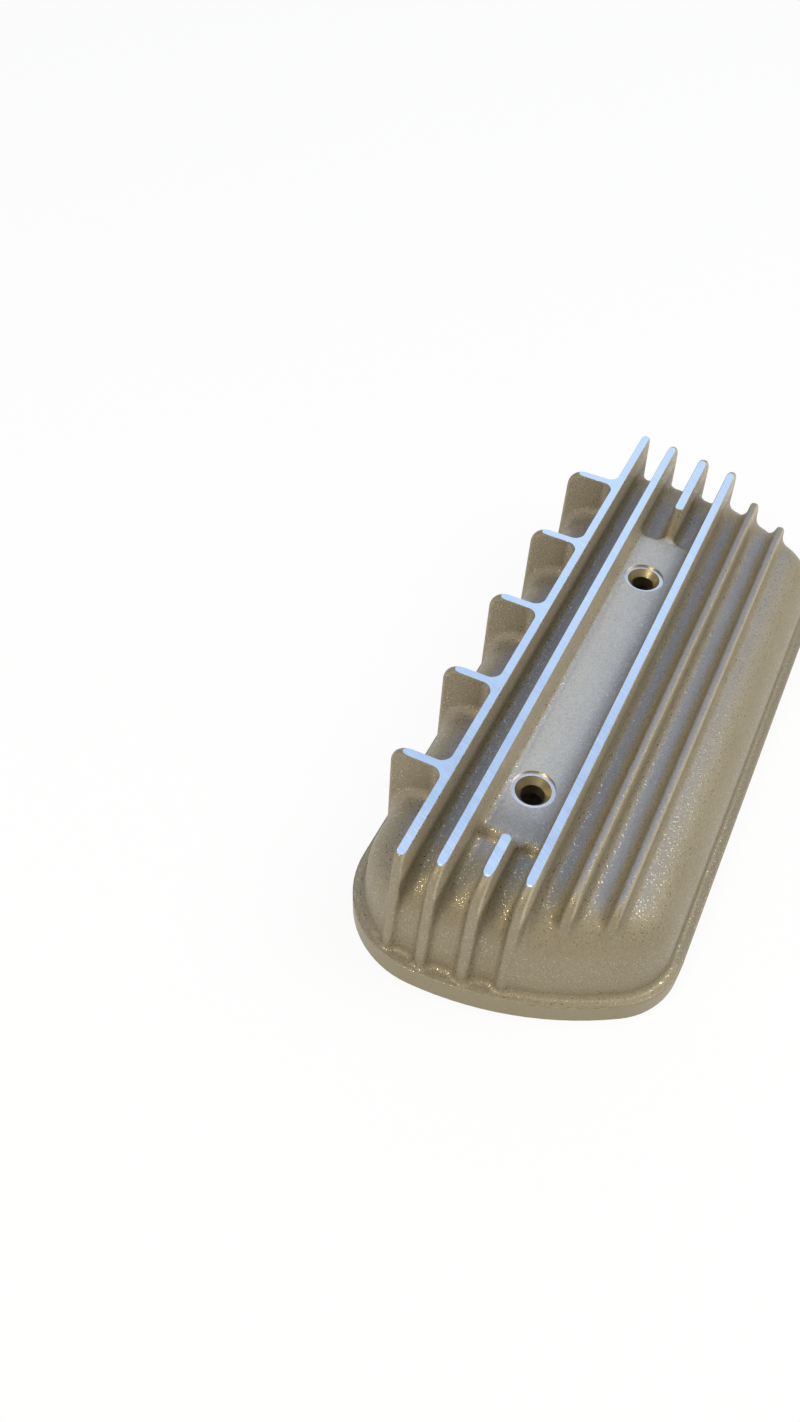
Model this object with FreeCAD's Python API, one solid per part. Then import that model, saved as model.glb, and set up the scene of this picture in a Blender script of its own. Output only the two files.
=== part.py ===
import FreeCAD, Part
import math
import os

from FreeCAD import Vector

# Valve cover: one aluminium casting, lying mouth down.
# Millimetres. +X runs along the long fins, +Y points to the cross fins, +Z is up.
# The rim face lies at Z = 0, the outline is centred on the Z axis.

# Plan outline of the rim band: two long sides, four corner arcs, two bowed ends
length = 262.0
width = 113.4
corner_radius_smooth = 27.0
corner_radius_finned = 33.5
end_bow_radius = 125.0
end_bow_centre_y = 23.7

# Rim band, and the gasket seat sunk behind its outer lip
rim_height = 9.2
rim_edge_radius = 0.7
rim_lip_width = 3.4
seat_depth = 2.0

# Shell: walls lean inwards, the ends more than the sides, most of all between the milled fins
deck_height = 38.5
wall_inset = 3.6
wall_draft_deg = 3.5
end_setback_foot = -1.5
end_setback_head = 1.5
groove_setback = -0.6
groove_draft_deg = 12.0
shoulder_radius = 18.0
wall_thickness = 5.4
deck_thickness = 4.5
cavity_draft_deg = 3.0
cavity_setback = 6.0
cavity_top_radius = 12.0

# Long fins; the tallest ones are cast over height and milled down to fin_top
fin_top = 54.0
mill_allowance = 0.7
fin_thickness = 3.4
fin_draft_deg = 1.0
fin_edge_radius = 1.6
low_fin_thickness = 2.8
low_fin_draft_deg = 4.0
low_fin_edge_radius = 1.3
nose_draft_deg = 9.0
nose_flat = 0.3
nose_setback = 2.4
# Y position, height before milling, tip radius, nose setback
first_fin = (33.2, fin_top + mill_allowance, 3.6, nose_setback)
second_fin = (20.7, fin_top + mill_allowance, 9.4, nose_setback)
third_fin = (6.6, fin_top + mill_allowance, 12.2, nose_setback)
fourth_fin = (-6.2, fin_top + mill_allowance, 11.5, nose_setback + 0.4)
fifth_fin = (-19.3, 49.0, 10.0, 8.3)
sixth_fin = (-32.4, 45.0, 9.0, 8.6)

# The third fin is two stubs that stop short of the bolt pad on a steep ramp.
# Margins of stubs, pad and holes are measured from the rim's own ends.
stub_thickness = 3.7
stub_near_margin = 34.0
stub_far_margin = 52.5
stub_ramp_deg = 25.0
stub_end_radius = 1.5

# Cross fins, from the first long fin out to the rim
cross_count = 5
cross_pitch = 41.0
cross_thickness = 3.5
cross_foot_y = 54.6
cross_lean = 0.6
cross_corner_radius = 7.2

# Bolt pad between the second and the fourth fin
pad_height = 42.0
pad_near_margin = 42.5
pad_far_margin = 59.5
pad_ramp_deg = 45.0
pad_edge_radius = 4.5

# Bolt holes: shallow milled seat, cone, bore
hole_near_margin = 62.6
hole_far_margin = 83.9
hole_y = 8.2
hole_seat_radius = 7.7
hole_seat_depth = 0.8
hole_cone_radius = 6.2
hole_cone_depth = 2.5
hole_bore_radius = 4.2

# Cast roundings where surfaces meet, the preferred radius first
root_radii = (4.4, 4.2, 4.0, 3.8, 3.6, 3.4, 3.2, 3.0, 2.7, 2.4, 2.0, 1.5)
groove_root_radius = 3.4
# Along the rim: radius at the feet of the noses, radius elsewhere
rim_root_radii = ((1.5, 2.2), (1.3, 2.0), (1.2, 1.8), (1.2, 1.5), (1.2, 1.2))

half_length = length / 2
half_width = width / 2
stub_near_end = stub_near_margin - half_length
stub_far_end = half_length - stub_far_margin
pad_near_end = pad_near_margin - half_length
pad_far_end = half_length - pad_far_margin
hole_x = (hole_near_margin - half_length, half_length - hole_far_margin)
overshoot = 0.01
sheet = FreeCAD.newDocument("roundings")


def lean(degrees):
    return math.tan(math.radians(degrees))


def plan_centres(shorten=0.0):
    """Centres of the end bow and of both corner arcs on the +X end."""
    bow = Vector(half_length - shorten - end_bow_radius, end_bow_centre_y, 0)
    corners = []
    for side, radius in ((-1, corner_radius_smooth), (1, corner_radius_finned)):
        y = side * (half_width - radius)
        reach = end_bow_radius - radius
        x = bow.x + math.sqrt(reach ** 2 - (y - bow.y) ** 2)
        corners.append(Vector(x, y, 0))
    return bow, corners[0], corners[1]


def towards(centre, radius, direction):
    """Point at the radius from the centre, in the given direction."""
    return centre + Vector(direction).normalize() * radius


def unit(vector):
    return Vector(vector).normalize()


def mirrored(point):
    return Vector(-point.x, point.y, point.z)


def plan_wire(inset, z, shorten=0.0):
    """Closed outline at height z, moved inwards by inset, both ends cut back by shorten."""
    bow, smooth, finned = plan_centres(shorten)
    r_smooth = corner_radius_smooth - inset
    r_finned = corner_radius_finned - inset
    r_bow = end_bow_radius - inset
    a = Vector(smooth.x, -half_width + inset, 0)
    b = towards(bow, r_bow, smooth - bow)
    c = towards(bow, r_bow, finned - bow)
    d = Vector(finned.x, half_width - inset, 0)
    ab = towards(smooth, r_smooth, unit(a - smooth) + unit(b - smooth))
    bc = towards(bow, r_bow, unit(b - bow) + unit(c - bow))
    cd = towards(finned, r_finned, unit(c - finned) + unit(d - finned))
    right = [(a, ab, b), (b, bc, c), (c, cd, d)]
    left = [tuple(mirrored(p) for p in reversed(arc)) for arc in reversed(right)]
    edges = [Part.Arc(*arc).toShape() for arc in right]
    edges.append(Part.makeLine(d, mirrored(d)))
    edges += [Part.Arc(*arc).toShape() for arc in left]
    edges.append(Part.makeLine(mirrored(a), a))
    wire = Part.Wire(edges)
    wire.translate(Vector(0, 0, z))
    return wire


def plan_x(y):
    """Half length of the outline at the given Y."""
    bow, smooth, finned = plan_centres()
    if y < towards(bow, end_bow_radius, smooth - bow).y:
        centre, radius = smooth, corner_radius_smooth
    elif y > towards(bow, end_bow_radius, finned - bow).y:
        centre, radius = finned, corner_radius_finned
    else:
        centre, radius = bow, end_bow_radius
    return centre.x + math.sqrt(radius ** 2 - (y - centre.y) ** 2)


def edges_at(shape, z):
    return [e for e in shape.Edges if all(abs(v.Z - z) < 1e-6 for v in e.Vertexes)]


def drafted(inset, draft_deg, z0, z1, shorten_foot, shorten_head):
    """Solid on the outline whose walls lean inwards by the draft."""
    foot = plan_wire(inset, z0, shorten_foot)
    head = plan_wire(inset + (z1 - z0) * lean(draft_deg), z1, shorten_head)
    return Part.makeLoft([foot, head], True, True)


def rounded_shell(draft_deg, shorten_foot, shorten_head):
    solid = drafted(wall_inset, draft_deg, 0, deck_height, shorten_foot, shorten_head)
    return solid.makeFillet(shoulder_radius, edges_at(solid, deck_height))


def prism(points, along):
    return Part.Face(Part.makePolygon(points + points[:1])).extrude(along)


def edges_along(shape, axis, z_above):
    """Straight edges parallel to the axis that lie above the height."""
    found = []
    for edge in shape.Edges:
        run = edge.Vertexes[-1].Point - edge.Vertexes[0].Point
        if run.Length > 1e-6 and abs(run.normalize().dot(axis)) > 0.999 and edge.CenterOfMass.z > z_above:
            found.append(edge)
    return found


def sound(shape):
    return not shape.isNull() and shape.isValid() and len(shape.Solids) == 1


def rounded_by(shape, rows):
    """Shape with edges rounded; a row gives an edge's number and the radii at its two ends."""
    plain = sheet.addObject("Part::Feature", "plain")
    plain.Shape = shape
    rounded = sheet.addObject("Part::Fillet", "rounded")
    rounded.Base = plain
    rounded.Edges = rows
    sheet.recompute()
    return rounded.Shape.Solids[0] if sound(rounded.Shape) else shape


def softened(fin, radius, across, skip, foot_radius=None, foot=0.0):
    """Fin with its long cast edges rounded; towards the foot of a nose the rounding widens."""
    rows = []
    for number, edge in enumerate(fin.Edges, 1):
        ends = [edge.Vertexes[0].Point, edge.Vertexes[-1].Point]
        run = ends[1] - ends[0]
        if edge.CenterOfMass.z < 0.5 or skip(edge.CenterOfMass) or abs(run.normalize().dot(across)) > 0.9:
            continue
        radii = []
        for point in ends:
            at_foot = foot_radius and abs(point.z) < 1e-6 and abs(point.x) > foot - 1e-3
            radii.append(foot_radius if at_foot else radius)
        rows.append((number, radii[0], radii[1]))
    return rounded_by(fin, rows)


def fin_bar(thickness, z_top, draft_deg):
    """Cross section of a fin in the YZ plane, as a bar over the whole length."""
    z_over = z_top + 5
    foot = thickness / 2 + z_top * lean(draft_deg)
    head = thickness / 2 - 5 * lean(draft_deg)
    x = -half_length
    points = [Vector(x, -foot, 0), Vector(x, foot, 0), Vector(x, head, z_over), Vector(x, -head, z_over)]
    return prism(points, Vector(length, 0, 0))


def long_fin(spec, thickness, draft_deg, edge_radius, near_end=None, far_end=None):
    """Fin plate over the whole length, or the stub at one end when the other end is given."""
    y, z_top, tip_radius, setback = spec
    foot = plan_x(y) - setback + rim_height * lean(nose_draft_deg)
    tip = foot - z_top * lean(nose_draft_deg)
    ramp = lean(stub_ramp_deg)
    near = [(-foot, 0), (-tip, z_top)]
    far = [(tip, z_top), (foot, 0)]
    if near_end is not None:
        x = near_end - (z_top - fin_top) * ramp
        far = [(x, z_top), (x + z_top * ramp, 0)]
    if far_end is not None:
        x = far_end + (z_top - fin_top) * ramp
        near = [(x - z_top * ramp, 0), (x, z_top)]
    points = [Vector(px, y - 10, pz) for px, pz in near + far]
    plate = prism(points, Vector(0, 20, 0))
    across = Vector(0, 1, 0)
    tips = [e for e in edges_along(plate, across, z_top - 1) if abs(abs(e.CenterOfMass.x) - tip) < 1e-3]
    plate = plate.makeFillet(tip_radius, tips)
    if near_end is not None or far_end is not None:
        heads = [e for e in edges_along(plate, across, z_top - 1e-3)]
        inner = min(heads, key=lambda e: abs(e.CenterOfMass.x))
        plate = plate.makeFillet(stub_end_radius, [inner])
    bar = fin_bar(thickness, z_top, draft_deg)
    bar.translate(Vector(0, y, 0))
    foot_radius = thickness / 2 + z_top * lean(draft_deg) - nose_flat / 2
    return softened(plate.common(bar).Solids[0], edge_radius, across, lambda point: False, foot_radius, foot)


def cross_fin(x):
    """Cross fin from the middle of the first long fin to the rim."""
    z_top = fin_top + mill_allowance
    inner = first_fin[0]
    foot = cross_foot_y + cross_lean * rim_height / z_top
    points = [Vector(x - 10, inner, 0), Vector(x - 10, foot, 0), Vector(x - 10, foot - cross_lean, z_top),
              Vector(x - 10, inner, z_top)]
    plate = prism(points, Vector(20, 0, 0))
    across = Vector(1, 0, 0)
    corner = [e for e in edges_along(plate, across, z_top - 1) if e.CenterOfMass.y > inner + 1]
    plate = plate.makeFillet(cross_corner_radius, corner)
    bar = fin_bar(cross_thickness, z_top, fin_draft_deg)
    bar.rotate(Vector(0, 0, 0), Vector(0, 0, 1), 90)
    bar.translate(Vector(x, 0, 0))
    return softened(plate.common(bar).Solids[0], fin_edge_radius, across, lambda point: point.y < inner + 0.1)


def bolt_pad():
    y0 = fourth_fin[0]
    z0 = deck_height - 4
    run = (pad_height - z0) * lean(pad_ramp_deg)
    points = [Vector(pad_near_end - run, y0, z0), Vector(pad_near_end, y0, pad_height),
              Vector(pad_far_end, y0, pad_height), Vector(pad_far_end + run, y0, z0)]
    pad = prism(points, Vector(0, second_fin[0] - y0, 0))
    return pad.makeFillet(pad_edge_radius, edges_along(pad, Vector(0, 1, 0), pad_height - 1))


def bolt_hole(x):
    """Cutter of one stepped hole, down through the deck."""
    cone_top = pad_height - hole_seat_depth
    cone_foot = cone_top - hole_cone_depth
    seat = Part.makeCylinder(hole_seat_radius, 10, Vector(x, hole_y, cone_top))
    cone = Part.makeCone(hole_bore_radius, hole_cone_radius, hole_cone_depth, Vector(x, hole_y, cone_foot))
    bore = Part.makeCylinder(hole_bore_radius, pad_height, Vector(x, hole_y, 1))
    return seat.fuse([cone, bore])


def is_hollow(shape, edge):
    """True where the two faces of an edge form an inner corner."""
    faces = shape.ancestorsOfType(edge, Part.Face)
    if len(faces) != 2:
        return False
    middle = (edge.FirstParameter + edge.LastParameter) / 2
    point = edge.valueAt(middle)
    normals = [face.normalAt(*face.Surface.parameter(point)) for face in faces]
    own = [e for e in faces[0].Edges if e.isSame(edge)][0]
    run = own.tangentAt(middle)
    if own.Orientation == "Reversed":
        run = run * -1
    return normals[0].cross(run).dot(normals[1]) > 0.05


def chains(edges):
    """Edges sorted into connected groups, the largest first."""
    groups = []
    for edge in edges:
        points = [v.Point for v in edge.Vertexes]
        merged = [edge]
        rest = []
        for group, ends in groups:
            if any((p - q).Length < 1e-4 for p in points for q in ends):
                merged += group
                points += ends
            else:
                rest.append((group, ends))
        groups = rest + [(merged, points)]
    return sorted([group for group, ends in groups], key=len, reverse=True)


def in_groove(edge):
    """True for edges that run down the end walls between the milled fins."""
    between = fourth_fin[0] < edge.CenterOfMass.y < first_fin[0]
    return between and edge.BoundBox.ZMin < rim_height + 1


def at_nose(point):
    """True beside the foot of a nose, where only a narrow ledge of the rim is left."""
    beside_fins = fourth_fin[0] - 4 < point.y < first_fin[0] + 4
    return beside_fins and plan_x(point.y) - abs(point.x) < nose_setback + 0.8


def place_of(edge):
    centre = edge.CenterOfMass
    return tuple(round(value, 3) for value in (centre.x, centre.y, centre.z, edge.Length))


def filleted(shape, edges, radii):
    """Shape with the given edges rounded by the first radius that the geometry allows."""
    wanted = set(place_of(edge) for edge in edges)
    for radius in radii:
        current = [edge for edge in shape.Edges if place_of(edge) in wanted]
        try:
            result = shape.makeFillet(radius, current)
        except Part.OCCError:
            continue
        if sound(result):
            return result.Solids[0]
    return shape


def rim_rounded(shape, edges, radii):
    """Shape with the corner above the rim rounded, less at the feet of the noses."""
    numbers = dict((place_of(edge), number) for number, edge in enumerate(shape.Edges, 1))
    for at_foot, elsewhere in radii:
        rows = []
        for edge in edges:
            ends = [edge.Vertexes[0].Point, edge.Vertexes[-1].Point]
            first, last = [at_foot if at_nose(point) else elsewhere for point in ends]
            rows.append((numbers[place_of(edge)], first, last))
        result = rounded_by(shape, rows)
        if result is not shape:
            return result
    return shape


# Outside of the casting
band = Part.Face(plan_wire(0, 0)).extrude(Vector(0, 0, rim_height))
band = band.makeFillet(rim_edge_radius, edges_at(band, rim_height))
groove_y = fourth_fin[0]
grooved = Part.makeBox(2 * length, first_fin[0] - groove_y, 2 * fin_top, Vector(-length, groove_y, -1))
shell = rounded_shell(wall_draft_deg, end_setback_foot, end_setback_head).cut(grooved)
shell = shell.fuse(rounded_shell(groove_draft_deg, groove_setback, groove_setback).common(grooved))
tall_section = (fin_thickness, fin_draft_deg, fin_edge_radius)
stub_section = (stub_thickness, fin_draft_deg, fin_edge_radius)
low_section = (low_fin_thickness, low_fin_draft_deg, low_fin_edge_radius)
fins = [long_fin(spec, *tall_section) for spec in (first_fin, second_fin, fourth_fin)]
fins += [long_fin(spec, *low_section) for spec in (fifth_fin, sixth_fin)]
fins.append(long_fin(third_fin, *stub_section, near_end=stub_near_end))
fins.append(long_fin(third_fin, *stub_section, far_end=stub_far_end))
for index in range(cross_count):
    fins.append(cross_fin((index - (cross_count - 1) / 2) * cross_pitch))
body = band.fuse([shell] + fins + [bolt_pad()])
body = body.cut(Part.makeBox(2 * length, 2 * width, 50, Vector(-length, -width, fin_top))).Solids[0]

# Cast roundings, first above the rim and then along it
hollow = [e for e in body.Edges if e.BoundBox.ZMax > rim_height + 0.5 and is_hollow(body, e)]
for group in chains(hollow):
    radii = root_radii
    if any(in_groove(edge) for edge in group):
        radii = [radius for radius in root_radii if radius <= groove_root_radius]
    body = filleted(body, group, radii)
along_rim = [e for e in body.Edges if e.BoundBox.ZMin > rim_height - 2.1
             and e.BoundBox.ZMax < rim_height + 0.5 and is_hollow(body, e)]
body = rim_rounded(body, along_rim, rim_root_radii)

# Inside, gasket seat and bolt holes
ceiling = deck_height - deck_thickness
cavity_inset = wall_inset + wall_thickness
cavity = drafted(cavity_inset, cavity_draft_deg, -overshoot, ceiling, cavity_setback, cavity_setback)
cavity = cavity.makeFillet(cavity_top_radius, edges_at(cavity, ceiling))
seat = Part.Face(plan_wire(rim_lip_width, -overshoot)).extrude(Vector(0, 0, seat_depth + overshoot))
cutters = [cavity, seat] + [bolt_hole(x) for x in hole_x]
for cutter in cutters:
    body = body.cut(cutter)
body = body.Solids[0]

os.makedirs("parts", exist_ok=True)
body.exportStep("parts/valve_cover.step")
print("valve_cover", body.isValid(), len(body.Faces), round(body.Volume), body.BoundBox)
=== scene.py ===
"""Studio scene of an engine valve cover, cast in aluminium with long milled fins.

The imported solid's own surface is dressed face by face with procedural finishes, and
stands on a white floor in front of the photograph's camera.
"""

from __future__ import annotations

import logging
import math
from dataclasses import dataclass
from enum import Enum
from functools import reduce
from typing import Mapping, Optional, Sequence, Union

import bmesh
import bpy
from mathutils import Matrix, Vector

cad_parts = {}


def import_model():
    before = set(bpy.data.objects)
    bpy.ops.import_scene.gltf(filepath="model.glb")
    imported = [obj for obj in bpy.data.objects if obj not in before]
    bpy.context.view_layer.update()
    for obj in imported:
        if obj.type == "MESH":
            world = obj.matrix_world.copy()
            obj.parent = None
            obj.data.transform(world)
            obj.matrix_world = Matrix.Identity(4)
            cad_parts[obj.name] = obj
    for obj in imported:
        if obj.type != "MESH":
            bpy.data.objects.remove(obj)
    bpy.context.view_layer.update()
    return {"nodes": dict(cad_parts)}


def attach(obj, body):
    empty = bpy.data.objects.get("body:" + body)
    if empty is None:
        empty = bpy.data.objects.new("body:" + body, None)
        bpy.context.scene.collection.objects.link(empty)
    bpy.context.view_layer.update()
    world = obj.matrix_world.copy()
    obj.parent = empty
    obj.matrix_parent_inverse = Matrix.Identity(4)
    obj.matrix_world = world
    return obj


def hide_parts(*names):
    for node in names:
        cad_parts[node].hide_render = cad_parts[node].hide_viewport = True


log = logging.getLogger("valve_cover")

Colour = tuple[float, float, float]
Point = tuple[float, float, float]
Spot = tuple[float, float]
Step = tuple[float, float]
Feed = Union[float, Sequence[float], "Signal", bpy.types.NodeSocket]
Feeds = Mapping[Union[str, int], Feed]

MILLIMETRE = 0.001
MIX_FACTOR = 0
MIX_FIRST = 6
MIX_SECOND = 7
MIX_RESULT = 2
WHITE = (1.0, 1.0, 1.0, 1.0)


class Signal:
    """A number on a shader socket that Python's operators can work on."""

    def __init__(self, bench: ShaderBench, socket: bpy.types.NodeSocket) -> None:
        """Keep the socket and the bench that owns it.

        Args:
            bench: Bench that adds the nodes of this signal's maths.
            socket: Output that carries the number.
        """
        self.bench = bench
        self.socket = socket

    def __add__(self, other: Feed) -> Signal:
        """Return self + other."""
        return self.bench.number("ADD", self, other)

    def __radd__(self, other: Feed) -> Signal:
        """Return other + self."""
        return self.bench.number("ADD", other, self)

    def __sub__(self, other: Feed) -> Signal:
        """Return self - other."""
        return self.bench.number("SUBTRACT", self, other)

    def __rsub__(self, other: Feed) -> Signal:
        """Return other - self."""
        return self.bench.number("SUBTRACT", other, self)

    def __mul__(self, other: Feed) -> Signal:
        """Return self * other."""
        return self.bench.number("MULTIPLY", self, other)

    def __rmul__(self, other: Feed) -> Signal:
        """Return other * self."""
        return self.bench.number("MULTIPLY", other, self)

    def __pow__(self, other: Feed) -> Signal:
        """Return self to the power of other."""
        return self.bench.number("POWER", self, other)

    def __abs__(self) -> Signal:
        """Return self without its sign."""
        return self.bench.number("ABSOLUTE", self)

    def least(self, other: Feed) -> Signal:
        """Return the smaller of self and other."""
        return self.bench.number("MINIMUM", self, other)

    def wave(self) -> Signal:
        """Return the sine of self."""
        return self.bench.number("SINE", self)

    def between(self, low: float, high: float) -> Signal:
        """Return 0 below low, 1 above high and a smooth step in between.

        Args:
            low: Value at which the step begins.
            high: Value at which the step is complete.

        Returns:
            The stepped signal.
        """
        settings = {"interpolation_type": "SMOOTHSTEP"}
        feeds = {"Value": self, "From Min": low, "From Max": high}
        return self.bench.signal("ShaderNodeMapRange", settings, feeds)


Axes = tuple[Signal, Signal, Signal]


class ShaderBench:
    """Builds the node tree of one material or of the world."""

    def __init__(self, tree: bpy.types.NodeTree) -> None:
        """Clear the tree, ready for new nodes.

        Args:
            tree: Node tree of a material or of the world.
        """
        self.tree = tree
        tree.nodes.clear()

    def add(
        self,
        kind: str,
        settings: Optional[Mapping[str, object]] = None,
        feeds: Optional[Feeds] = None,
    ) -> bpy.types.Node:
        """Add one node.

        Args:
            kind: Type name of the node.
            settings: Attributes of the node, set before its sockets.
            feeds: Value or link for each named or numbered input.

        Returns:
            The new node.
        """
        node = self.tree.nodes.new(kind)
        for name, value in (settings or {}).items():
            setattr(node, name, value)
        for key, feed in (feeds or {}).items():
            self.plug(feed, node.inputs[key])
        return node

    def plug(self, feed: Feed, entry: bpy.types.NodeSocket) -> None:
        """Link a feed to an input, or set the input's own value.

        Args:
            feed: Signal, output socket, number or tuple.
            entry: Input that takes it.
        """
        source = feed.socket if isinstance(feed, Signal) else feed
        if isinstance(source, bpy.types.NodeSocket):
            self.tree.links.new(source, entry)
        else:
            entry.default_value = source

    def signal(
        self,
        kind: str,
        settings: Optional[Mapping[str, object]] = None,
        feeds: Optional[Feeds] = None,
        output: Union[str, int] = 0,
    ) -> Signal:
        """Add a node and return one of its outputs as a signal.

        Args:
            kind: Type name of the node.
            settings: Attributes of the node.
            feeds: Value or link for each input.
            output: Name or number of the output.

        Returns:
            The output, wrapped as a signal.
        """
        return Signal(self, self.add(kind, settings, feeds).outputs[output])

    def number(self, operation: str, *operands: Feed) -> Signal:
        """Add a Math node.

        Args:
            operation: Name of the node's operation.
            *operands: Numbers or signals that it works on, in order.

        Returns:
            The result.
        """
        feeds = dict(enumerate(operands))
        return self.signal("ShaderNodeMath", {"operation": operation}, feeds)

    def split(self, vector: Feed) -> Axes:
        """Split a vector into its three numbers.

        Args:
            vector: Socket of the vector.

        Returns:
            Its x, y and z.
        """
        node = self.add("ShaderNodeSeparateXYZ", None, {"Vector": vector})
        x, y, z = (Signal(self, output) for output in node.outputs)
        return x, y, z

    def blend(self, factor: Feed, first: Feed, second: Feed) -> bpy.types.NodeSocket:
        """Mix two colours.

        Args:
            factor: 0 gives the first colour, 1 the second.
            first: Colour or link.
            second: Colour or link.

        Returns:
            The socket of the mixed colour.
        """
        colours = [(*c, 1.0) if isinstance(c, tuple) else c for c in (first, second)]
        feeds = {MIX_FACTOR: factor, MIX_FIRST: colours[0], MIX_SECOND: colours[1]}
        node = self.add("ShaderNodeMix", {"data_type": "RGBA"}, feeds)
        return node.outputs[MIX_RESULT]

    def dimmed(self, colour: Feed, shade: Feed) -> bpy.types.NodeSocket:
        """Multiply a colour by a number.

        Args:
            colour: Socket of the colour.
            shade: Factor on all three channels.

        Returns:
            The socket of the darker or lighter colour.
        """
        channels = {"Red": shade, "Green": shade, "Blue": shade}
        grey = self.add("ShaderNodeCombineColor", None, channels).outputs[0]
        settings = {"data_type": "RGBA", "blend_type": "MULTIPLY"}
        feeds = {MIX_FACTOR: 1.0, MIX_FIRST: colour, MIX_SECOND: grey}
        return self.add("ShaderNodeMix", settings, feeds).outputs[MIX_RESULT]

    def millimetres(
        self, stretch: Optional[Sequence[float]] = None, turn: float = 0.0
    ) -> bpy.types.NodeSocket:
        """Give the object's own coordinates in millimetres.

        Args:
            stretch: Factor on each axis; below 1 draws a pattern out.
            turn: Turn of the pattern about z, in radians.

        Returns:
            The socket of the coordinates.
        """
        place = self.add("ShaderNodeTexCoord").outputs["Object"]
        per_metre = (1.0 / MILLIMETRE,) * 3
        feeds = {"Vector": place, "Rotation": (0.0, 0.0, turn), "Scale": per_metre}
        turned = self.add("ShaderNodeMapping", None, feeds).outputs[0]
        if stretch is None:
            return turned
        feeds = {"Vector": turned, "Scale": stretch}
        return self.add("ShaderNodeMapping", None, feeds).outputs[0]

    def noise(
        self, place: Feed, size: float, detail: float = 3.0, rough: float = 0.6
    ) -> Signal:
        """Noise between 0 and 1.

        Args:
            place: Coordinates in millimetres.
            size: Size of the largest features, in millimetres.
            detail: Number of finer octaves.
            rough: Strength of the finer octaves.

        Returns:
            The noise.
        """
        feeds = {
            "Vector": place,
            "Scale": 1.0 / size,
            "Detail": detail,
            "Roughness": rough,
        }
        settings = {"noise_dimensions": "3D"}
        return self.signal("ShaderNodeTexNoise", settings, feeds, "Fac")

    def bump(self, height: Feed, distance: float) -> bpy.types.NodeSocket:
        """Turn a height into a normal.

        Args:
            height: Height between 0 and 1.
            distance: Depth of the relief, in millimetres.

        Returns:
            The socket of the normal.
        """
        feeds = {"Height": height, "Distance": distance * MILLIMETRE, "Strength": 1.0}
        return self.add("ShaderNodeBump", None, feeds).outputs[0]

    def finish(self, feeds: Mapping[str, Feed]) -> None:
        """Close a material with its main shader.

        Args:
            feeds: Value or link for each input of the shader.
        """
        shader = self.add("ShaderNodeBsdfPrincipled", None, feeds)
        self.add("ShaderNodeOutputMaterial", None, {"Surface": shader.outputs[0]})


def new_bench(name: str) -> tuple[bpy.types.Material, ShaderBench]:
    """Make a material and the bench that works on it.

    Args:
        name: Name of the material.

    Returns:
        The material and its bench.
    """
    material = bpy.data.materials.new(name)
    material.use_nodes = True
    return material, ShaderBench(material.node_tree)


@dataclass(frozen=True)
class PaintedLightPatch:
    """A painted pool of light: a rectangle of lighter tone with soft edges, where the
    casting faces up.

    Lengths are in millimetres.
    """

    tone: Colour
    centre: Spot
    half: Spot
    fade: Spot
    lowest: float
    lowest_fade: float = 1.0
    rise_step: Step = (0.7, 0.95)

    def share(self, place: Axes, rise: Signal) -> Signal:
        """Give the patch's share at each point.

        Args:
            place: Coordinates in millimetres: along, across and height.
            rise: How far the surface faces up, from -1 to 1.

        Returns:
            1 inside the patch, 0 outside.
        """
        inside = place[2].between(self.lowest - self.lowest_fade, self.lowest)
        # The centre has two numbers, so this goes over along and across only.
        for value, middle, half, fade in zip(place, self.centre, self.half, self.fade):
            inside = inside * (1.0 - abs(value - middle).between(half - fade, half))
        return inside * rise.between(*self.rise_step)


@dataclass(frozen=True)
class PaintedSkyShade:
    """Where a casting faces up to the sky, and so gets a painted tone of cool sky light
    and shade.

    Lengths are in millimetres. A step is where a smooth change begins and ends.
    """

    rise_step: Step = (0.8, 1.0)
    unevenness: float = 0.05
    height_step: Step = (30.0, 39.0)
    shoulder_step: Step = (-39.0, -33.0)
    shoulder_share: float = 0.55
    end_step: Step = (90.0, 108.0)

    def share(self, place: Axes, rise: Signal, cloud: Signal) -> Signal:
        """Give the share of the painted sky tone at each point.

        Args:
            place: Coordinates in millimetres: along, across and height.
            rise: How far the surface faces up, from -1 to 1.
            cloud: Noise that makes the edge of the painted sky tone uneven.

        Returns:
            1 on the high level surfaces, 0 on the walls and in the low corners.
        """
        along, across, height = place
        uneven = rise + self.unevenness * (cloud - 0.5)
        share = uneven.between(*self.rise_step) * height.between(*self.height_step)
        inner = across.between(*self.shoulder_step)
        share = share * (self.shoulder_share + (1.0 - self.shoulder_share) * inner)
        return share * (1.0 - abs(along).between(*self.end_step))


@dataclass(frozen=True)
class PaintedWindowLight:
    """A painted highlight: a lighter tone high on the flanks that face the window beside
    the part.

    Lengths are in millimetres.
    """

    tone: Colour
    height_step: Step = (40.0, 46.0)
    facing_step: Step = (0.4, 0.9)

    def share(self, place: Axes, left: Signal) -> Signal:
        """Give the share of the lighter tone at each point.

        Args:
            place: Coordinates in millimetres: along, across and height.
            left: How far the surface faces along +y, from -1 to 1.

        Returns:
            1 on the flanks that face along -y, 0 elsewhere.
        """
        window = (0.0 - left).between(*self.facing_step)
        return place[2].between(*self.height_step) * window


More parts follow.
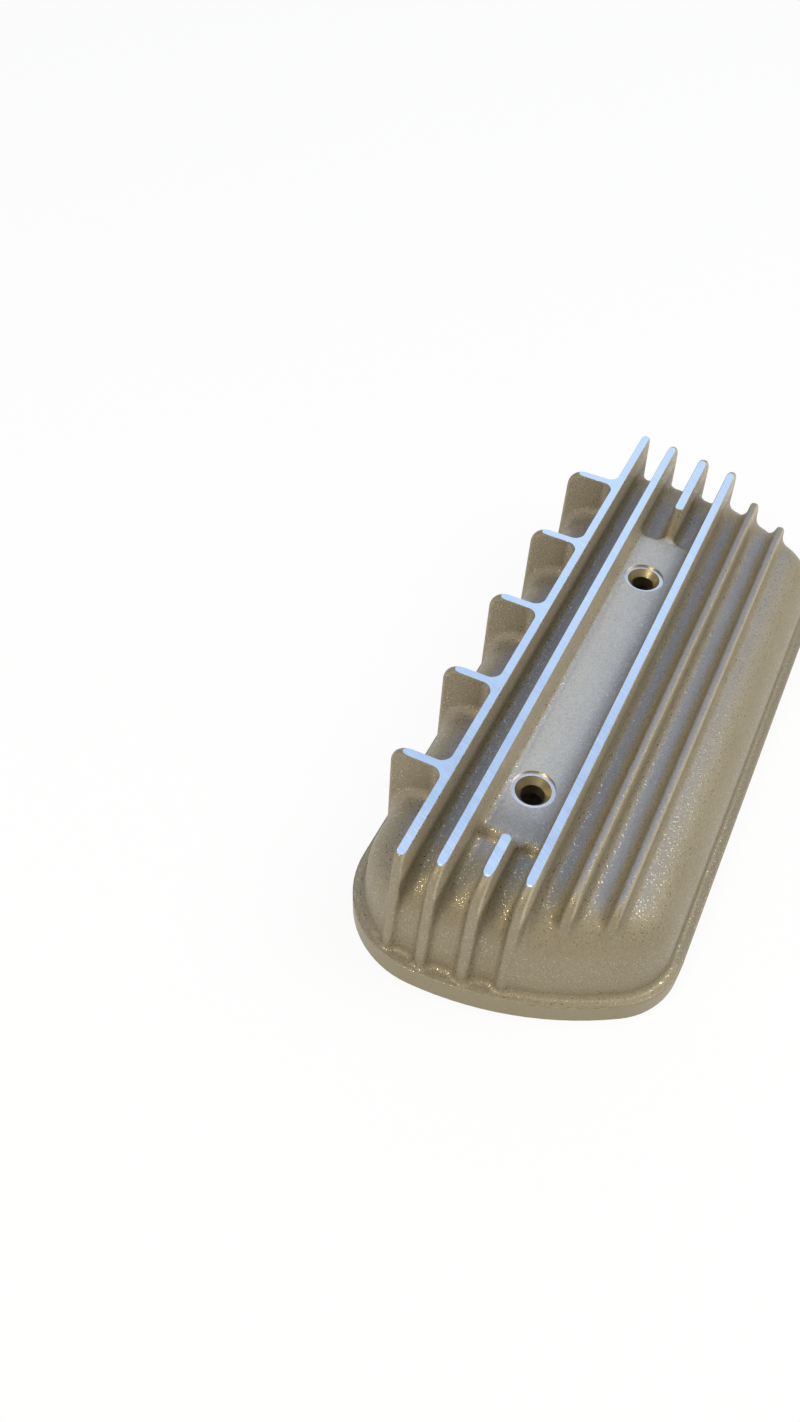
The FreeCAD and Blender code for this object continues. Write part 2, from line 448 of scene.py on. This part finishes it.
@dataclass(frozen=True)
class CastFinish:
    """Blasted casting: mottled grain with dark pits and small bright facets.

    Lengths are in millimetres. The weights of the shade and of the relief say how much
    each noise counts.
    """

    name: str
    sky_shade_tone: Colour
    flank: Colour
    grain: float
    relief: float
    roughness: float
    metallic: float
    sparkle: float
    bright: Optional[PaintedLightPatch] = None
    painted_window_light: Optional[PaintedWindowLight] = None
    painted_sky_shade: PaintedSkyShade = PaintedSkyShade()
    cloud_size: float = 26.0
    fleck_ratio: float = 0.8
    pit_step: Step = (0.27, 0.36)
    facet_step: Step = (0.60, 0.68)
    plain_shade: float = 0.68
    grain_shade: float = 0.60
    cloud_shade: float = 0.16
    pit_shade: float = 0.05
    facet_shade: float = 0.20
    grain_relief: float = 0.75
    fleck_relief: float = 0.25
    pit_relief: float = 0.08
    uneven_roughness: float = 0.12

    def material(self) -> bpy.types.Material:
        """Build the material.

        Returns:
            The finished material.
        """
        material, bench = new_bench(self.name)
        place = bench.millimetres()
        grain = bench.noise(place, self.grain, rough=0.65)
        cloud = bench.noise(place, self.cloud_size, rough=0.5)
        fleck_size = self.grain * self.fleck_ratio
        fleck = bench.noise(place, fleck_size, detail=1.0, rough=0.5)
        pits = 1.0 - fleck.between(*self.pit_step)
        facets = fleck.between(*self.facet_step)
        shade = self.plain_shade + self.grain_shade * grain
        shade = shade + self.cloud_shade * (cloud - 0.5)
        shade = shade - self.pit_shade * pits + self.facet_shade * facets
        relief = grain * self.grain_relief + fleck * self.fleck_relief
        relief = relief - pits * self.pit_relief
        roughness = self.roughness + self.uneven_roughness * (grain - 0.5)
        bench.finish(
            {
                "Base Color": bench.dimmed(self._tone(bench, place, cloud), shade),
                "Metallic": self.metallic + (1.0 - self.metallic) * facets,
                "Roughness": roughness - self.sparkle * facets,
                "Normal": bench.bump(relief, self.relief),
            }
        )
        return material

    def _tone(
        self, bench: ShaderBench, place: Feed, cloud: Signal
    ) -> bpy.types.NodeSocket:
        """Choose the tone by height and by the way that the surface faces: painted sky
        light and shade, painted window light and a painted pool of light.

        Args:
            bench: The material's bench.
            place: Coordinates in millimetres.
            cloud: The slow unevenness of the casting.

        Returns:
            The socket of the tone.
        """
        facing = bench.add("ShaderNodeTexCoord").outputs["Normal"]
        _, left, rise = bench.split(facing)
        axes = bench.split(place)
        # Painted sky light and shade: a cooler, greyer tone on the surfaces that face
        # up.
        share = self.painted_sky_shade.share(axes, rise, cloud)
        tone = bench.blend(share, self.flank, self.sky_shade_tone)
        # Painted window light high on the flanks that face along -y.
        if self.painted_window_light:
            share = self.painted_window_light.share(axes, left)
            tone = bench.blend(share, tone, self.painted_window_light.tone)
        # Painted pool of light on the pad where it faces up.
        if self.bright:
            share = self.bright.share(axes, rise)
            tone = bench.blend(share, tone, self.bright.tone)
        return tone


@dataclass(frozen=True)
class MilledFinish:
    """Bare metal under a face mill: fine streaks and a slight unevenness of tone.

    Lengths are in millimetres.
    """

    name: str
    light: Colour
    dark: Colour
    roughness: float
    streak_turn: float
    relief: float
    streak_size: float = 0.5
    streak_stretch: Point = (1.0, 0.05, 1.0)
    cloud_size: float = 9.0
    streak_share: float = 0.6
    tone_step: Step = (0.35, 0.65)
    streak_roughness: float = 0.12
    cloud_roughness: float = 0.10

    def material(self) -> bpy.types.Material:
        """Build the material.

        Returns:
            The finished material.
        """
        material, bench = new_bench(self.name)
        drawn_out = bench.millimetres(self.streak_stretch, self.streak_turn)
        streaks = bench.noise(drawn_out, self.streak_size)
        cloud = bench.noise(bench.millimetres(), self.cloud_size)
        mottle = self.streak_share * streaks + (1.0 - self.streak_share) * cloud
        roughness = self.roughness + self.streak_roughness * (streaks - 0.5)
        bench.finish(
            {
                "Base Color": bench.blend(
                    mottle.between(*self.tone_step), self.dark, self.light
                ),
                "Metallic": 1.0,
                "Roughness": roughness + self.cloud_roughness * (cloud - 0.5),
                "Normal": bench.bump(streaks, self.relief),
            }
        )
        return material


@dataclass(frozen=True)
class TurnedFinish:
    """Metal cut by a rotating tool: rings round the axis of each bolt hole.

    Lengths are in millimetres, apart from the centres, which are in metres.
    """

    name: str
    tone: Colour
    roughness: float
    centres: tuple[Spot, ...]
    ring_pitch: float
    relief: float
    dark_ratio: float = 0.82
    cloud_size: float = 1.5
    cloud_roughness: float = 0.10
    ring_relief: float = 0.6

    def material(self) -> bpy.types.Material:
        """Build the material.

        Returns:
            The finished material.
        """
        material, bench = new_bench(self.name)
        place = bench.millimetres()
        turn = 2.0 * math.pi / self.ring_pitch
        rings = 0.5 + 0.5 * (self._reach(bench, place) * turn).wave()
        cloud = bench.noise(place, self.cloud_size)
        dark = tuple(channel * self.dark_ratio for channel in self.tone)
        relief = self.ring_relief * rings + (1.0 - self.ring_relief) * cloud
        bench.finish(
            {
                "Base Color": bench.blend(0.5 * rings + 0.5 * cloud, dark, self.tone),
                "Metallic": 1.0,
                "Roughness": self.roughness + self.cloud_roughness * (cloud - 0.5),
                "Normal": bench.bump(relief, self.relief),
            }
        )
        return material

    def _reach(self, bench: ShaderBench, place: Feed) -> Signal:
        """Measure the distance to the nearest hole's axis.

        Args:
            bench: The material's bench.
            place: Coordinates in millimetres.

        Returns:
            The distance in millimetres.
        """
        feeds = {0: place, 1: (1.0, 1.0, 0.0)}
        node = bench.add("ShaderNodeVectorMath", {"operation": "MULTIPLY"}, feeds)
        spans = []
        for x, y in self.centres:
            feeds = {0: node.outputs[0], 1: (x / MILLIMETRE, y / MILLIMETRE, 0.0)}
            settings = {"operation": "DISTANCE"}
            spans.append(bench.signal("ShaderNodeVectorMath", settings, feeds, "Value"))
        return reduce(Signal.least, spans)


Finish = Union[CastFinish, MilledFinish, TurnedFinish]


class Surface(Enum):
    """The finishes that one casting carries, in the order of its material slots."""

    SKIN = 0
    MILLED = 1
    RIM_BAND = 2
    SEALING = 3
    HOLE_SEAT = 4
    HOLE_BORE = 5
    INSIDE = 6


@dataclass(frozen=True)
class Casting:
    """The valve cover itself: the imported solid's own surface, dressed face by face.

    Lengths are in metres. A face's surface is told from the height of its middle, from
    its distance to the bolt holes and from how level it lies.
    """

    node: str = "valve_cover"
    body: str = "root"
    slot: str = "cast_aluminium"
    fin_top: float = 0.054
    rim_height: float = 0.0092
    rim_rounding: float = MILLIMETRE
    seat_depth: float = 0.002
    pad_height: float = 0.042
    deck_thickness: float = 0.0045
    ceiling_gap: float = MILLIMETRE
    hole_centres: tuple[Spot, ...] = ((-0.0684, 0.0082), (0.0471, 0.0082))
    seat_radius: float = 0.0077
    merge_distance: float = 2e-6
    tolerance: float = 0.05 * MILLIMETRE
    sharp_angle: float = math.radians(32.0)
    level: float = 0.999
    nearly_level: float = 0.9

    def build(self, nodes: Mapping[str, bpy.types.Object]) -> bpy.types.Object:
        """Copy the node's surface, merge it and dress it.

        Args:
            nodes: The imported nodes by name.

        Returns:
            The finished piece.
        """
        mesh = bpy.data.meshes.new("finned_cover")
        work = bmesh.new()
        work.from_mesh(nodes[self.node].data)
        bmesh.ops.remove_doubles(work, verts=work.verts, dist=self.merge_distance)
        work.normal_update()
        self._crease(work)
        self._sort_faces(work)
        work.to_mesh(mesh)
        work.free()
        finishes = self._finishes()
        for surface in Surface:
            mesh.materials.append(finishes[surface].material())
        piece = bpy.data.objects.new("finned_cover", mesh)
        bpy.context.scene.collection.objects.link(piece)
        weighting = piece.modifiers.new("flat_faces_lead", "WEIGHTED_NORMAL")
        weighting.mode = "FACE_AREA_WITH_ANGLE"
        weighting.keep_sharp = True
        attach(piece, self.body)
        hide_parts(self.node)
        return piece

    def _finishes(self) -> dict[Surface, Finish]:
        """Choose the finish of each surface.

        Returns:
            The finishes by surface.
        """
        # Painted light on the pad, set off-centre so that its side by the fin at -y
        # keeps a painted shade.
        painted_light_pad = PaintedLightPatch(
            tone=(0.48, 0.48, 0.48),
            centre=(-2.0, 8.6),
            half=(83.0, 12.0),
            fade=(16.0, 6.5),
            lowest=41.0,
        )
        return {
            Surface.SKIN: CastFinish(
                "blasted_casting",
                # Painted sky light and shade on the surfaces that face up, darker in the
                # valleys between the fins.
                sky_shade_tone=(0.275, 0.275, 0.29),
                flank=(0.34, 0.295, 0.205),
                grain=0.8,
                relief=0.2,
                roughness=0.54,
                metallic=0.4,
                sparkle=0.36,
                bright=painted_light_pad,
                # Painted window light on the flanks that face along -y.
                painted_window_light=PaintedWindowLight((0.58, 0.51, 0.37)),
            ),
            # The milled tops are bare silver metal; their blue tint is a painted
            # reflection of cool sky light.
            Surface.MILLED: MilledFinish(
                "milled_fin_tops",
                light=(0.75, 0.87, 1.0),
                dark=(0.67, 0.78, 0.97),
                roughness=0.24,
                streak_turn=math.radians(24.0),
                relief=0.006,
            ),
            Surface.RIM_BAND: CastFinish(
                "smooth_rim_band",
                sky_shade_tone=(0.29, 0.245, 0.145),
                flank=(0.29, 0.245, 0.145),
                grain=0.5,
                relief=0.04,
                roughness=0.42,
                metallic=0.5,
                sparkle=0.1,
            ),
            Surface.SEALING: MilledFinish(
                "milled_sealing_face",
                light=(0.62, 0.65, 0.71),
                dark=(0.52, 0.55, 0.60),
                roughness=0.26,
                streak_turn=0.0,
                relief=0.01,
            ),
            Surface.HOLE_SEAT: TurnedFinish(
                "turned_hole_seats",
                tone=(0.80, 0.79, 0.84),
                roughness=0.24,
                centres=self.hole_centres,
                ring_pitch=0.35,
                relief=0.02,
            ),
            Surface.HOLE_BORE: TurnedFinish(
                "drilled_bores",
                tone=(0.50, 0.44, 0.29),
                roughness=0.38,
                centres=self.hole_centres,
                ring_pitch=0.5,
                relief=0.02,
            ),
            Surface.INSIDE: CastFinish(
                "sand_cast_inside",
                sky_shade_tone=(0.34, 0.32, 0.27),
                flank=(0.33, 0.29, 0.21),
                grain=1.1,
                relief=0.25,
                roughness=0.55,
                metallic=0.8,
                sparkle=0.15,
            ),
        }

    def _crease(self, work: bmesh.types.BMesh) -> None:
        """Shade smooth, apart from edges that turn by more than the sharp angle.

        Args:
            work: The merged surface.
        """
        for face in work.faces:
            face.smooth = True
        for edge in work.edges:
            edge.smooth = edge.is_manifold and edge.calc_face_angle() < self.sharp_angle

    def _sort_faces(self, work: bmesh.types.BMesh) -> None:
        """Give each face the material slot of the surface that it belongs to.

        Args:
            work: The merged surface, with its sharp edges marked.
        """
        inside = self._inside_faces(work)
        for face in work.faces:
            surface = Surface.INSIDE if face in inside else self._surface_of(face)
            face.material_index = surface.value

    def _inside_faces(self, work: bmesh.types.BMesh) -> set[bmesh.types.BMFace]:
        """Collect the faces of the cavity, which sharp edges close off.

        Args:
            work: The merged surface, with its sharp edges marked.

        Returns:
            The faces reached from the cavity's ceiling without crossing a sharp edge.
        """
        lowest = self.seat_depth + self.ceiling_gap
        highest = self.pad_height - self.deck_thickness
        found = {
            face
            for face in work.faces
            if face.normal.z < -self.level
            and lowest < face.calc_center_median().z < highest
        }
        pending = list(found)
        while pending:
            smooth = (edge for edge in pending.pop().edges if edge.smooth)
            fresh = {face for edge in smooth for face in edge.link_faces} - found
            found |= fresh
            pending.extend(fresh)
        return found

    def _surface_of(self, face: bmesh.types.BMFace) -> Surface:
        """Name the surface of a face outside the cavity.

        Args:
            face: Face of the merged surface.

        Returns:
            The surface that it belongs to.
        """
        centre = face.calc_center_median()
        rise = face.normal.z
        reach = min(math.hypot(centre.x - x, centre.y - y) for x, y in self.hole_centres)
        near_axis = reach < self.seat_radius + self.tolerance
        if near_axis and centre.z < self.pad_height - self.tolerance:
            return Surface.HOLE_SEAT if rise > self.nearly_level else Surface.HOLE_BORE
        if rise > self.level and centre.z > self.fin_top - self.tolerance:
            return Surface.MILLED
        if centre.z < self.seat_depth + self.tolerance and abs(rise) > self.nearly_level:
            return Surface.SEALING
        if centre.z < self.rim_height - self.rim_rounding:
            return Surface.RIM_BAND
        return Surface.SKIN


@dataclass(frozen=True)
class SoftLamp:
    """A square lamp with an even tint, aimed at a point.

    Lengths are in metres, the power is in watts.
    """

    name: str
    place: Point
    size: float
    power: float
    tint: Colour
    aim: Point = (0.0, 0.0, 0.03)

    def build(self) -> None:
        """Add the lamp to the scene."""
        lamp = bpy.data.lights.new(self.name, "AREA")
        lamp.shape = "SQUARE"
        lamp.size = self.size
        lamp.energy = self.power
        lamp.color = self.tint
        stand = bpy.data.objects.new(self.name, lamp)
        bpy.context.scene.collection.objects.link(stand)
        stand.location = self.place
        direction = Vector(self.aim) - Vector(self.place)
        stand.rotation_euler = direction.to_track_quat("-Z", "Y").to_euler()


@dataclass(frozen=True)
class Studio:
    """White floor, soft lamps and pale surroundings; lengths in metres.

    Under the cover, inside a rounded oblong with `covered` as its half sizes, the floor
    has no glow of its own, so the bolt holes stay dark.
    """

    floor_size: float = 12.0
    floor_gap: float = 0.0001
    floor_white: float = 0.9
    shadow_share: float = 0.1
    covered: Spot = (0.118, 0.05)
    covered_power: float = 4.0
    covered_step: Step = (1.0, 1.05)
    sky_side: Point = (0.62, 0.2, 0.76)
    sky_step: Step = (0.6, 0.97)
    sky_tint: Colour = (0.60, 0.71, 0.89)
    room_tint: Colour = (0.45, 0.42, 0.355)
    dusk_step: Step = (0.0, 0.6)
    dusk_tint: Colour = (0.12, 0.15, 0.32)
    surround_strength: float = 0.9
    lamps: tuple[SoftLamp, ...] = (
        SoftLamp(
            "window_above",
            place=(0.1, 0.0, 2.0),
            size=1.5,
            power=6.0,
            tint=(0.80, 0.90, 1.0),
        ),
        SoftLamp(
            "window_far",
            place=(1.3, 0.45, 0.9),
            size=0.9,
            power=0.7,
            tint=(0.84, 0.92, 1.0),
            aim=(0.05, 0.0, 0.04),
        ),
        SoftLamp(
            "window_beside",
            place=(0.45, -0.95, 1.3),
            size=1.0,
            power=11.5,
            tint=(1.0, 0.99, 0.96),
        ),
        SoftLamp(
            "lamp_at_near_end",
            place=(-0.68, 0.30, 0.92),
            size=0.2,
            power=4.0,
            tint=(1.0, 0.87, 0.62),
        ),
        SoftLamp(
            "room_in_front",
            place=(-1.0, -0.9, 0.6),
            size=1.0,
            power=0.7,
            tint=(1.0, 0.88, 0.66),
        ),
        SoftLamp(
            "room_at_left",
            place=(-1.1, 0.8, 0.6),
            size=1.0,
            power=2.2,
            tint=(1.0, 0.90, 0.70),
        ),
    )

    def build(self) -> None:
        """Lay the floor, hang the lamps and set the surroundings."""
        self._floor()
        for lamp in self.lamps:
            lamp.build()
        self._surroundings()

    def _floor(self) -> None:
        """Lay a white floor that still takes the object's shadow."""
        work = bmesh.new()
        half = self.floor_size / 2
        bmesh.ops.create_grid(work, x_segments=1, y_segments=1, size=half)
        bmesh.ops.translate(work, verts=work.verts, vec=(0.0, 0.0, -self.floor_gap))
        mesh = bpy.data.meshes.new("studio_floor")
        work.to_mesh(mesh)
        work.free()
        mesh.materials.append(self._floor_material())
        floor = bpy.data.objects.new("studio_floor", mesh)
        bpy.context.scene.collection.objects.link(floor)

    def _floor_material(self) -> bpy.types.Material:
        """Paint the floor white, with a glow for the rays that show it.

        Returns:
            The finished material.
        """
        material, bench = new_bench("studio_white")
        white = (self.floor_white,) * 3 + (1.0,)
        paint = bench.add("ShaderNodeBsdfDiffuse", None, {"Color": white})
        feeds = {"Color": WHITE, "Strength": 1.0}
        glow = bench.add("ShaderNodeEmission", None, feeds)
        place = bench.add("ShaderNodeTexCoord").outputs["Object"]
        along, across, _ = bench.split(place)
        along = along * (1.0 / self.covered[0])
        across = across * (1.0 / self.covered[1])
        reach = along**self.covered_power + across**self.covered_power
        share = self._seen(bench) * reach.between(*self.covered_step)
        feeds = {
            0: share * (1.0 - self.shadow_share),
            1: paint.outputs[0],
            2: glow.outputs[0],
        }
        mixed = bench.add("ShaderNodeMixShader", None, feeds).outputs[0]
        bench.add("ShaderNodeOutputMaterial", None, {"Surface": mixed})
        return material

    def _seen(self, bench: ShaderBench) -> Signal:
        """Tell the rays that show the floor itself from those that light the part.

        Args:
            bench: The floor material's bench.

        Returns:
            1 for camera, glossy and transmission rays, 0 for the others.
        """
        rays = bench.add("ShaderNodeLightPath").outputs
        seen = Signal(bench, rays["Is Camera Ray"]) + rays["Is Glossy Ray"]
        return (seen + rays["Is Transmission Ray"]).least(1.0)

    def _surroundings(self) -> None:
        """Set a white backdrop for the camera and a soft pale room for the light."""
        world = bpy.data.worlds.new("pale_room")
        world.use_nodes = True
        bpy.context.scene.world = world
        bench = ShaderBench(world.node_tree)
        ray = bench.add("ShaderNodeTexCoord").outputs["Generated"]
        settings = {"operation": "DOT_PRODUCT"}
        feeds = {0: ray, 1: self.sky_side}
        toward = bench.signal("ShaderNodeVectorMath", settings, feeds, "Value")
        _, left, _ = bench.split(ray)
        dusk = left.between(*self.dusk_step)
        room = bench.blend(dusk, self.room_tint, self.dusk_tint)
        room = bench.blend(toward.between(*self.sky_step), room, self.sky_tint)
        feeds = {"Color": room, "Strength": self.surround_strength}
        lit = bench.add("ShaderNodeBackground", None, feeds).outputs[0]
        white = bench.add("ShaderNodeBackground", None, {"Color": WHITE}).outputs[0]
        shown = bench.add("ShaderNodeLightPath").outputs["Is Camera Ray"]
        feeds = {0: shown, 1: lit, 2: white}
        mixed = bench.add("ShaderNodeMixShader", None, feeds).outputs[0]
        bench.add("ShaderNodeOutputWorld", None, {"Surface": mixed})


@dataclass(frozen=True)
class Viewpoint:
    """The photograph's camera in the frame of the part.

    Its place and clipping distances are in metres, its sensor in millimetres.
    """

    place: Point = (-0.2904, -0.0452, 0.3438)
    right: Point = (0.4449, -0.8953, 0.0219)
    down: Point = (-0.6770, -0.3522, -0.6462)
    forward: Point = (0.5863, 0.2727, -0.7628)
    focal_pixels: float = 1128.38
    picture_height: float = 1422.0
    sensor: float = 36.0
    nearest: float = 0.01
    farthest: float = 50.0

    def build(self) -> bpy.types.Object:
        """Add the camera and make it the scene's own.

        Returns:
            The camera's object.
        """
        camera = bpy.data.cameras.new("photo_camera")
        camera.sensor_width = self.sensor
        camera.lens = self.focal_pixels / self.picture_height * self.sensor
        camera.clip_start = self.nearest
        camera.clip_end = self.farthest
        stand = bpy.data.objects.new("photo_camera", camera)
        bpy.context.scene.collection.objects.link(stand)
        columns = (Vector(self.right), -Vector(self.down), -Vector(self.forward))
        turn = Matrix(columns).transposed().to_4x4()
        stand.matrix_world = Matrix.Translation(self.place) @ turn
        bpy.context.scene.camera = stand
        return stand


def main() -> None:
    """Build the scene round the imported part."""
    logging.basicConfig(level=logging.INFO, format="%(name)s: %(message)s")
    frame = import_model()
    bpy.context.scene.view_settings.view_transform = "Standard"
    piece = Casting().build(frame["nodes"])
    log.info("%s: %d faces", piece.name, len(piece.data.polygons))
    Studio().build()
    log.info("camera: %s", Viewpoint().build().name)


if __name__ == "__main__":
    main()
